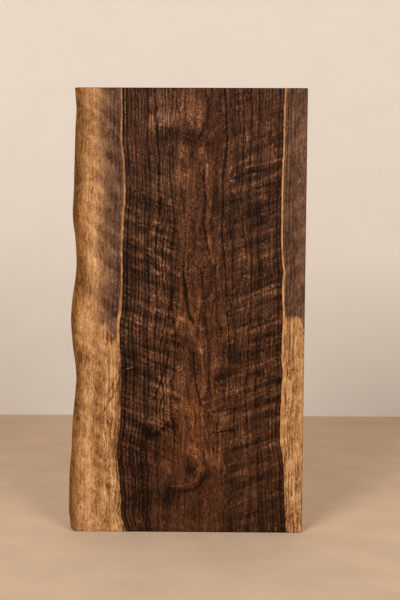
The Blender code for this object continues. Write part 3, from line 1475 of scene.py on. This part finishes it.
    patches: tuple[Patch, ...] = (
        # Pinkish and orange patches at the top, and the dark band under them.
        Patch((-32, 567), (12, 26), 62, 0.8, 0.32, -0.15),
        Patch((-26, 596), (11, 26), 80, 0.8, 0.2, -0.15),
        Patch((13, 577), (11, 17), -4, 0.8, 0.28),
        Patch((-12, 547), (9, 42), 100, 0.6, -0.2),
        Patch((-3, 527), (5, 14), -4, 0.6, 0.14, 0.1),
        Patch((9, 527), (6, 18), 0, 0.6, -0.14),
        Patch((23, 521), (4, 12), 0, 0.7, 0.14, 0.15),
        # Above the middle.
        Patch((-18, 487), (12, 32), 80, 0.7, 0.18, -0.15),
        Patch((20, 474), (16, 9), 0, 0.7, 0.08),
        Patch((40.5, 458), (5, 20), 0, 0.6, -0.16),
        # Round the wedges and the arch.
        Patch((-9, 352), (9, 22), 0, 0.7, -0.08),
        Patch((-23, 365.5), (19, 18), 0, 0.7, 0.05, -0.1),
        Patch((15, 316), (7, 26), 0, 0.6, 0.1, 0.25),
        Patch((0, 312), (34, 48), 0, 0.7, 0.03, 0.15),
        Patch((-5, 265.5), (7, 8), 0, 0.6, -0.2, 0.1),
        Patch((46, 272), (8, 20), 0, 0.7, -0.09),
        Patch((44, 346), (9, 36), 0, 0.7, -0.09),
        Patch((55.5, 226), (7, 10), 0, 0.6, -0.16),
        Patch((60.5, 256.5), (11, 16.5), 80, 0.6, -0.12, 0.1),
        # Left of the middle.
        Patch((-43.5, 334), (18, 22), 0, 0.7, 0.1, -0.1),
        Patch((-70, 414), (26, 24), 0, 0.7),
        Patch((-30, 289), (13.5, 27.5), 70, 0.7, 0.09, -0.1),
        Patch((-77.5, 358.5), (12.5, 38.5), 0, 0.6, -0.14),
        Patch((-72.5, 231), (12.5, 26), 0, 0.6, -0.15),
        Patch((-67, 109), (12.5, 52), 0, 0.6, -0.14),
        Patch((-76, 62), (9, 24), 0, 0.7, 0.08),
        # Round the thin dark curves and the knot.
        Patch((-19, 206), (12, 28), 15, 0.7, 0.19, -0.1),
        Patch((-41, 198), (11, 22), 55, 0.7, 0.1, -0.1),
        Patch((-38, 176), (22, 16), -30, 0.7, 0.08),
        Patch((-46, 134), (10, 7), 0, 0.5, -0.2),
        Patch((-31, 162.5), (7, 13.5), 55, 0.6, 0.16, -0.1),
        # Round the swirl.
        Patch((10.5, 118), (11, 19), 0, 0.6, 0.08, 0.15),
        Patch((39.5, 104), (7, 12.5), -40, 0.6, 0.14, -0.1),
        Patch((7, 92), (7.5, 11), 0, 0.5, -0.26),
        Patch((25, 106), (18, 18), -30, 0.5, 0.1, -0.1),
        Patch((-9, 124), (33, 56), 0, 0.5, 0.01, 0.35),
        Patch((-20, 100), (14, 22), 20, 0.7, 0.07, 0.2),
        Patch((27, 74), (6, 12), 30, 0.6, -0.16),
        Patch((6, 178), (8, 14), -55, 0.6, 0.12, -0.05),
        Patch((34, 196), (7, 34), -8, 0.7, 0.1, 0.05),
        Patch((51.5, 162), (9, 9), 0, 0.6, 0.16, -0.1),
        Patch((8, 160), (24, 42), 0, 0.7, 0.07, 0.15),
        # Right of the middle.
        Patch((104, 280), (24, 26), 0, 0.7, -0.1),
        Patch((76, 275), (36, 80), 0, 0.7, 0.05, 0.08),
        Patch((80, 248), (8, 20), 75, 0.6, -0.16),
        Patch((108, 190), (16, 30), 0, 0.7, -0.06),
        Patch((71.5, 447.5), (18, 35.5), 100, 0.7, -0.11),
        Patch((110, 363.5), (9.5, 16.5), 68, 0.6, -0.15),
        Patch((106.5, 583.5), (7, 16.5), 60, 0.6, -0.12),
        Patch((100.5, 520), (4, 23.5), 70, 0.6, 0.12, -0.1),
        Patch((112, 440), (26, 44), 0, 0.7, -0.06),
        Patch((75, 95), (20, 6), -12, 0.7, 0.06),
        # Along the foot.
        Patch((-45, 48.5), (15, 38.5), 80, 0.6, -0.15),
        Patch((-20, 58), (9, 6), 0, 0.7, -0.1),
        Patch((-15, 26), (4, 24), 0, 0.7, 0.12, 0.2),
        Patch((28, 22), (5, 26), 0, 0.7, 0.11, 0.2),
        # Sapwood.
        Patch((-120, 14), (44, 24), 0, 0.5, 0.06),
        Patch((-131, 78), (7, 44), 0, 0.7, 0.14),
        Patch((-126, 195), (6, 40), 0, 0.7, -0.07),
        Patch((-129, 388), (9, 58), 0, 0.8),
        Patch((-100, 545), (14, 50), 0, 0.7, -0.08),
        Patch((140, 244), (5, 38), 0, 0.6, -0.13),
        Patch((128, 126), (5, 24), 0, 0.6, 0.09),
        Patch((-102, 504), (6.5, 15), -45, 0.7, 0.26),
        Patch((-99, 385.5), (9.5, 13.5), -30, 0.7, 0.13),
        Patch((-102.5, 272), (8, 9.5), 40, 0.6, -0.22),
        Patch((-141, 248.5), (9.5, 11), 0, 0.6, -0.24),
        Patch((-120, 200), (7, 22), 0, 0.6, -0.09),
        Patch((-122, 115), (6, 30), 0, 0.6, -0.08),
        Patch((-136, 470), (7, 40), 0, 0.7),
        # Specks.
        Patch((61.5, 486.5), (0.9, 1), 0, 0.5, 0.8),
        Patch((49.5, 489), (0.7, 0.7), 0, 0.5, 0.5),
        Patch((87, 220.5), (0.6, 1), 0, 0.5, 0.5),
        Patch((-21, 57), (0.8, 0.8), 0, 0.5, 0.6),
        Patch((-4.5, 36), (0.8, 0.8), 0, 0.5, 0.6),
    )
    name = "front_marks"
    inputs = (PLACE,)
    outputs = numbers("Tone", "Warmth")

    def wire(self, graph: Graph, given: dict[str, Wire]) -> dict[str, Wire]:
        """Add up the marks, each on wood that is bent a little so that its sides are uneven.

        Args:
            graph: The group's graph.
            given: The group's inputs.

        Returns:
            The group's outputs.
        """
        front = self.slab.low.y * MILLIMETRES
        x, y, z = graph.parts(given["Place"])
        flat = graph.joined(x, (y - front) * self.nearness, z)
        bend = graph.noise(given["Place"], (3.0, 3.0, 9.0), 21.0, colour=True)
        streaky = graph.noise(given["Place"], (2.2, 2.2, 26.0), 22.0, colour=True)
        fine = graph.vector("MULTIPLY_ADD", bend, (3.0, 0.0, 5.0), flat)
        coarse = graph.vector("MULTIPLY_ADD", streaky, (8.0, 0.0, 24.0), flat)
        tone: Wire | float = 0.0
        warmth: Wire | float = 0.0
        for stroke in self.strokes:
            mask: Wire | None = None
            first, last = stroke.halves
            steps = len(stroke.points) - 1
            halves = [first + (last - first) * k / steps for k in range(steps + 1)]
            for k, (start, end) in enumerate(zip(stroke.points, stroke.points[1:])):
                one = graph.place(StrokeEffect(), Place=fine, From=(start[0], 0.0, start[1]),
                                  To=(end[0], 0.0, end[1]), Half_From=halves[k],
                                  Half_To=halves[k + 1], Soft=stroke.soft)["Mask"]
                mask = one if mask is None else graph.math("MAXIMUM", mask, one)
            tone = mask * stroke.tone + tone
            if stroke.warmth:
                warmth = mask * stroke.warmth + warmth
        for patch in self.patches:
            across, up = patch.half
            mask = graph.place(PatchEffect(), Place=flat if across < self.speck else coarse,
                               Middle=(patch.middle[0], 0.0, patch.middle[1]),
                               Half_Size=(across, across, up),
                               Lean=-math.radians(patch.lean), Soft=patch.soft)["Mask"]
            tone = mask * patch.tone + tone
            if patch.warmth:
                warmth = mask * patch.warmth + warmth
        return {"Tone": tone, "Warmth": warmth}


class SawEffect(Effect):
    """Marks that a saw left: even bands across the cut."""

    name = "saw_marks"
    inputs = (PLACE, ("Along", Kind.VECTOR, 0.0), ("Pitch", Kind.NUMBER, 2.0))
    outputs = numbers("Height")

    def wire(self, graph: Graph, given: dict[str, Wire]) -> dict[str, Wire]:
        """Waves along one direction, uneven in strength.

        Args:
            graph: The group's graph.
            given: The group's inputs.

        Returns:
            The group's outputs.
        """
        run = graph.vector("DOT_PRODUCT", given["Place"], given["Along"])
        uneven = graph.noise(given["Place"], (20.0, 20.0, 20.0), 31.0)
        wave = graph.math("SINE", (run + uneven * 3.0) / given["Pitch"] * math.tau)
        return {"Height": wave * graph.step(uneven, 0.35, 0.65)}


@dataclass(frozen=True)
class WoodFinish:
    """One face's finish, wired from the shared effects.

    Attributes:
        wood: The walnut.
        name: The material's name.
        specular: Strength of the reflection from the bare surface.
        bump: Height of the grain's relief in metres for a height of 1.
    """

    wood: WoodEffect
    name: str = "walnut_planed"
    specular: float = 0.05
    bump: float = 0.00006

    def look(self, graph: Graph) -> tuple[Wire, Wire, Wire]:
        """The face's colour, relief and roughness.

        Args:
            graph: The material's graph.

        Returns:
            Base colour, height and roughness.
        """
        wood = graph.place(self.wood, Place=graph.surface_place())
        return wood["Colour"], wood["Height"], wood["Roughness"]

    def material(self) -> bpy.types.Material:
        """Make the material.

        Returns:
            The material.
        """
        material = bpy.data.materials.new(self.name)
        material.use_nodes = True
        graph = Graph(material.node_tree)
        shader = material.node_tree.nodes["Principled BSDF"]
        colour, height, roughness = self.look(graph)
        graph.feed(shader.inputs["Base Color"], colour)
        graph.feed(shader.inputs["Roughness"], roughness)
        shader.inputs["Specular IOR Level"].default_value = self.specular
        bump = graph.node("Bump")
        bump.inputs["Distance"].default_value = self.bump
        graph.feed(bump.inputs["Height"], height)
        graph.feed(shader.inputs["Normal"], Wire(graph, bump.outputs["Normal"]))
        return material


@dataclass(frozen=True, kw_only=True)
class PlanedFinish(WoodFinish):
    """The planed front and back faces.

    Attributes:
        marks: The front face's own figure.
        arris: What the colour is multiplied by along the sawn arrises; along the foot it is painted
            contact shadow, where the board stands on the floor.
    """

    marks: FrontMarks
    arris: Colour = (0.42, 0.32, 0.30, 1.0)

    def look(self, graph: Graph) -> tuple[Wire, Wire, Wire]:
        """The wood with the front face's marks, darker along the sawn arrises, with painted contact
        shadow along the foot.

        Args:
            graph: The material's graph.

        Returns:
            Base colour, height and roughness.
        """
        place = graph.surface_place()
        marks = graph.place(self.marks, Place=place)
        wood = graph.place(self.wood, Place=place, Mark=marks["Tone"], Warmth=marks["Warmth"])
        x, _, z = graph.parts(place)
        right = self.marks.slab.high.x * MILLIMETRES
        top = self.marks.slab.high.z * MILLIMETRES
        # Darker along the right edge and along the top.
        worn = graph.math("MAXIMUM", graph.step(x, right - 1.6, right - 0.5),
                          graph.step(z, top - 1.7, top - 0.6))
        # Painted contact shadow: a dark band along the foot, where the board stands on the floor.
        worn = graph.math("MAXIMUM", worn, graph.fall(z, 0.4, 1.6))
        colour = graph.tint(worn * 0.65, wood["Colour"], self.arris, "MULTIPLY")
        return colour, wood["Height"], wood["Roughness"]


@dataclass(frozen=True)
class SawnEdgeFinish(WoodFinish):
    """The sawn right edge: the same wood with faint marks of a circular saw.

    Attributes:
        pitch: Distance between saw marks.
        dulling: What the colour is multiplied by where the saw left it roughest.
    """

    name: str = "walnut_sawn_edge"
    pitch: float = 3.2
    dulling: Colour = (0.55, 0.48, 0.45, 1.0)

    def look(self, graph: Graph) -> tuple[Wire, Wire, Wire]:
        """The wood under saw marks that lean a little.

        Args:
            graph: The material's graph.

        Returns:
            Base colour, height and roughness.
        """
        place = graph.surface_place()
        wood = graph.place(self.wood, Place=place)
        saw = graph.place(SawEffect(), Place=place, Along=(0.0, 0.35, 0.94), Pitch=self.pitch)
        rough = saw["Height"] * 0.12 + 0.12
        colour = graph.tint(rough, wood["Colour"], self.dulling, "MULTIPLY")
        return colour, wood["Height"] + saw["Height"] * 0.9, wood["Roughness"] + 0.1


@dataclass(frozen=True)
class EndGrainFinish(WoodFinish):
    """The sawn ends: darker, with rings round the pith and fine rays out from it.

    Attributes:
        rays: How many rays there are to a radian.
        pitch: Distance between saw marks.
        darkening: What the colour is multiplied by where the end is darkest.
    """

    name: str = "walnut_end_grain"
    rays: float = 150.0
    pitch: float = 2.6
    darkening: Colour = (0.32, 0.24, 0.20, 1.0)

    def look(self, graph: Graph) -> tuple[Wire, Wire, Wire]:
        """Rings and rays on the end, darker than the faces.

        Args:
            graph: The material's graph.

        Returns:
            Base colour, height and roughness.
        """
        place = graph.surface_place()
        wood = graph.place(self.wood, Place=place)
        spot = graph.place(self.wood.log_place, Place=place)
        x, y, z = graph.parts(place)
        pith = self.wood.log_place.slab.pith
        turn = graph.math("ARCTAN2", y - pith[1] * MILLIMETRES, x - pith[0] * MILLIMETRES)
        ray_place = graph.joined(turn * self.rays, spot["Ring"] * 0.12, 0.0)
        ray = graph.noise(ray_place, (1.0, 1.0, 1.0), 33.0, rough=0.6)
        pores = graph.noise(place, (0.55, 0.55, 0.55), 34.0, detail=1.0)
        rings = graph.place(RingsEffect(), Ring=spot["Ring"], Height=z)
        dark = (0.30 + rings["Line"] * 0.35 + (0.5 - ray) * 0.5
                + graph.step(pores, 0.60, 0.72) * 0.3)
        colour = graph.tint(graph.share(dark), wood["Colour"], self.darkening, "MULTIPLY")
        saw = graph.place(SawEffect(), Place=place, Along=(0.97, 0.24, 0.0), Pitch=self.pitch)
        return colour, saw["Height"] * 0.9 - pores * 1.2, wood["Roughness"] + 0.15


@dataclass(frozen=True)
class LiveEdgeFinish(WoodFinish):
    """The bare surface that was under the bark: olive brown, ridged, with scraps of inner bark.

    Attributes:
        bark: Colour of the inner bark.
        shade_and_streak_tint: What the colour is multiplied by: painted shade away from the front
            face, where the live edge turns away toward the silhouette, and the fibre's own streaks.
    """

    name: str = "walnut_live_edge"
    bump: float = 0.00018
    bark: Colour = srgb(62, 38, 20)
    shade_and_streak_tint: Colour = (0.50, 0.44, 0.38, 1.0)

    def look(self, graph: Graph) -> tuple[Wire, Wire, Wire]:
        """The outermost wood, with painted shade away from the front face and scraps of inner bark.

        Args:
            graph: The material's graph.

        Returns:
            Base colour, height and roughness.
        """
        place = graph.surface_place()
        wood = graph.place(self.wood, Place=place)
        fibre = graph.place(FibreEffect(), Place=place, Seed=1.0)
        _, y, _ = graph.parts(place)
        scraps = graph.noise(place, (5.0, 5.0, 26.0), 42.0, detail=3.0, rough=0.65)
        bark = graph.step(scraps, 0.58, 0.66) * graph.step(y, -16.0, -2.0)
        # Painted shade: darker behind the shoulder, where the live edge turns away from the light
        # toward the silhouette; the fibre term is the wood's own streaks.
        shade = graph.step(y, -21.5, -16.0) * 0.5 + fibre["Long"] * 0.12 + 0.06
        colour = graph.tint(graph.share(shade), wood["Colour"], self.shade_and_streak_tint, "MULTIPLY")
        colour = graph.tint(bark * 0.7, colour, self.bark)
        relief = fibre["Long"] * 0.6 + fibre["Short"] * 0.4 + bark * 0.8
        return colour, relief, fibre["Crinkle"] * 0.1 + 0.66


@dataclass(frozen=True)
class WalnutFinishes:
    """The finishes of the board's faces, all from one log.

    Attributes:
        slab: The slab.
    """

    slab: Slab

    def materials(self) -> list[bpy.types.Material]:
        """Make the materials in the order of their slots.

        Returns:
            The materials.
        """
        wood = WoodEffect(log_place=LogPlaceEffect(slab=self.slab))
        finishes = {
            Face.PLANED: PlanedFinish(wood=wood, marks=FrontMarks(slab=self.slab)),
            Face.SAWN_EDGE: SawnEdgeFinish(wood=wood),
            Face.END_GRAIN: EndGrainFinish(wood=wood),
            Face.LIVE_EDGE: LiveEdgeFinish(wood=wood),
        }
        return [finishes[face].material() for face in Face]


@dataclass(frozen=True)
class Softbox:
    """A soft square light that looks at the board.

    Attributes:
        name: The light's name.
        place: Where it hangs.
        size: Width of its face in metres.
        power: Its power in watts.
        colour: Its colour.
    """

    name: str
    place: tuple[float, float, float]
    size: float
    power: float
    colour: tuple[float, float, float] = (0.97, 0.99, 1.0)

    def build(self, aim: Vector) -> None:
        """Hang the light.

        Args:
            aim: What it looks at.
        """
        lamp = bpy.data.lights.new(self.name, "AREA")
        lamp.size = self.size
        lamp.energy = self.power
        lamp.color = self.colour
        light = bpy.data.objects.new(self.name, lamp)
        light.location = self.place
        light.rotation_euler = (aim - Vector(self.place)).to_track_quat("-Z", "Y").to_euler()
        bpy.context.scene.collection.objects.link(light)


@dataclass
class Studio:
    """A plain pale floor and wall, soft lights and the camera.

    Attributes:
        camera_place: Where the camera stands, in metres.
        pitch: How far the camera looks down, in degrees.
        yaw: How far it is turned to the right.
        roll: How far it is rolled.
        focal_pixels: Focal length in pixels of the 400 by 600 picture.
        picture_height: Height of that picture.
        sensor: Height of the camera's sensor in millimetres.
        wall_behind: How far behind the board the wall stands.
        reach: How far the floor and wall reach.
        wall_colour: Colour of the wall.
        floor_colour: Colour of the floor.
        sky_colour: Colour of the light from all round.
        ambient: Strength of that light.
        softboxes: The lights.
    """

    camera_place: tuple[float, float, float] = (0.0301, -1.3141, 0.4400)
    pitch: float = 5.094
    yaw: float = -0.452
    roll: float = 0.263
    focal_pixels: float = 950.0
    picture_height: float = 600.0
    sensor: float = 36.0
    wall_behind: float = 0.75
    reach: float = 4.0
    wall_colour: Colour = srgb(228, 214, 200)
    floor_colour: Colour = srgb(206, 175, 145)
    sky_colour: Colour = (0.97, 0.985, 1.0, 1.0)
    ambient: float = 0.42
    softboxes: tuple[Softbox, ...] = (
        Softbox("key_light", (-1.1, -1.9, 1.75), 0.9, 42.0),
        Softbox("fill_light", (1.35, -1.9, 1.55), 0.9, 30.0),
    )

    def camera(self) -> None:
        """Set the camera where the photograph was taken from."""
        pitch, yaw, roll = (math.radians(a) for a in (self.pitch, self.yaw, self.roll))
        level = Vector((math.sin(yaw), math.cos(yaw), 0.0))
        ahead = level * math.cos(pitch) - Vector((0.0, 0.0, math.sin(pitch)))
        side = Vector((math.cos(yaw), -math.sin(yaw), 0.0))
        above = side.cross(ahead)
        right = side * math.cos(roll) + above * math.sin(roll)
        up = above * math.cos(roll) - side * math.sin(roll)
        lens = bpy.data.cameras.new("camera")
        lens.sensor_fit = "VERTICAL"
        lens.sensor_height = self.sensor
        lens.lens = self.focal_pixels / self.picture_height * self.sensor
        camera = bpy.data.objects.new("camera", lens)
        turn = Matrix((right, up, -ahead)).transposed().to_4x4()
        camera.matrix_world = Matrix.Translation(self.camera_place) @ turn
        bpy.context.scene.collection.objects.link(camera)
        bpy.context.scene.camera = camera

    def plain_material(self, name: str, colour: Colour, mottle: float,
                       one_sided: bool = False) -> bpy.types.Material:
        """A plain painted surface with a faint mottle.

        Args:
            name: The material's name.
            colour: Its colour.
            mottle: How strong the mottle is.
            one_sided: Whether it is clear from behind, so that the board can be seen from there.

        Returns:
            The material.
        """
        material = bpy.data.materials.new(name)
        material.use_nodes = True
        graph = Graph(material.node_tree)
        shader = material.node_tree.nodes["Principled BSDF"]
        cloud = graph.noise(graph.surface_place(), (90.0, 60.0, 60.0), 51.0, detail=5.0, rough=0.6)
        share = graph.step(cloud, 0.3, 0.7) * mottle
        darker = tuple(c * 0.80 for c in colour[:3]) + (1.0,)
        graph.feed(shader.inputs["Base Color"], graph.tint(share, colour, darker))
        shader.inputs["Roughness"].default_value = 0.85
        shader.inputs["Specular IOR Level"].default_value = 0.2
        if one_sided:
            mix = graph.node("MixShader")
            graph.feed(mix.inputs[0], Wire(graph, graph.node("NewGeometry").outputs["Backfacing"]))
            graph.feed(mix.inputs[1], Wire(graph, shader.outputs[0]))
            graph.feed(mix.inputs[2], Wire(graph, graph.node("BsdfTransparent").outputs[0]))
            output = material.node_tree.nodes["Material Output"]
            graph.feed(output.inputs["Surface"], Wire(graph, mix.outputs[0]))
        return material

    def sheet(self, name: str, corners: list[tuple[float, float, float]],
              material: bpy.types.Material) -> None:
        """One flat sheet of the stage.

        Args:
            name: The sheet's name.
            corners: Its four corners.
            material: Its material.
        """
        mesh = bpy.data.meshes.new(name)
        bm = bmesh.new()
        bm.faces.new([bm.verts.new(corner) for corner in corners])
        bm.to_mesh(mesh)
        bm.free()
        sheet = bpy.data.objects.new(name, mesh)
        bpy.context.scene.collection.objects.link(sheet)
        mesh.materials.append(material)

    def build(self, aim: Vector) -> None:
        """Set up the stage, the lights and the world.

        Args:
            aim: What the lights look at.
        """
        back, reach = self.wall_behind, self.reach
        foot = [(-reach, back, 0.0), (reach, back, 0.0)]
        near = [(-reach, -reach, 0.0), (reach, -reach, 0.0)]
        top = [(-reach, back, reach), (reach, back, reach)]
        self.sheet("studio_floor", near + foot[::-1],
                   self.plain_material("pale_floor", self.floor_colour, 0.5))
        self.sheet("studio_wall", foot + top[::-1],
                   self.plain_material("pale_wall", self.wall_colour, 0.12, one_sided=True))
        for softbox in self.softboxes:
            softbox.build(aim)
        world = bpy.data.worlds.new("studio_world")
        world.use_nodes = True
        sky = world.node_tree.nodes["Background"]
        sky.inputs["Color"].default_value = self.sky_colour
        sky.inputs["Strength"].default_value = self.ambient
        bpy.context.scene.world = world
        bpy.context.scene.view_settings.view_transform = "Standard"


def main() -> None:
    """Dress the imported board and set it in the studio."""
    logging.basicConfig(level=logging.INFO, format="%(name)s: %(message)s")
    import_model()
    low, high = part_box(NODE)
    slab = Slab(low=low, high=high)
    studio = Studio()
    studio.camera()
    board = BoardWood(slab=slab).build(WalnutFinishes(slab=slab))
    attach(board, BODY)
    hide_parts(NODE)
    LOG.info("%s: %d faces", board.name, len(board.data.polygons))
    studio.build(aim=(low + high) / 2.0)
    LOG.info("studio: %d lights", len(studio.softboxes))


if __name__ == "__main__":
    main()
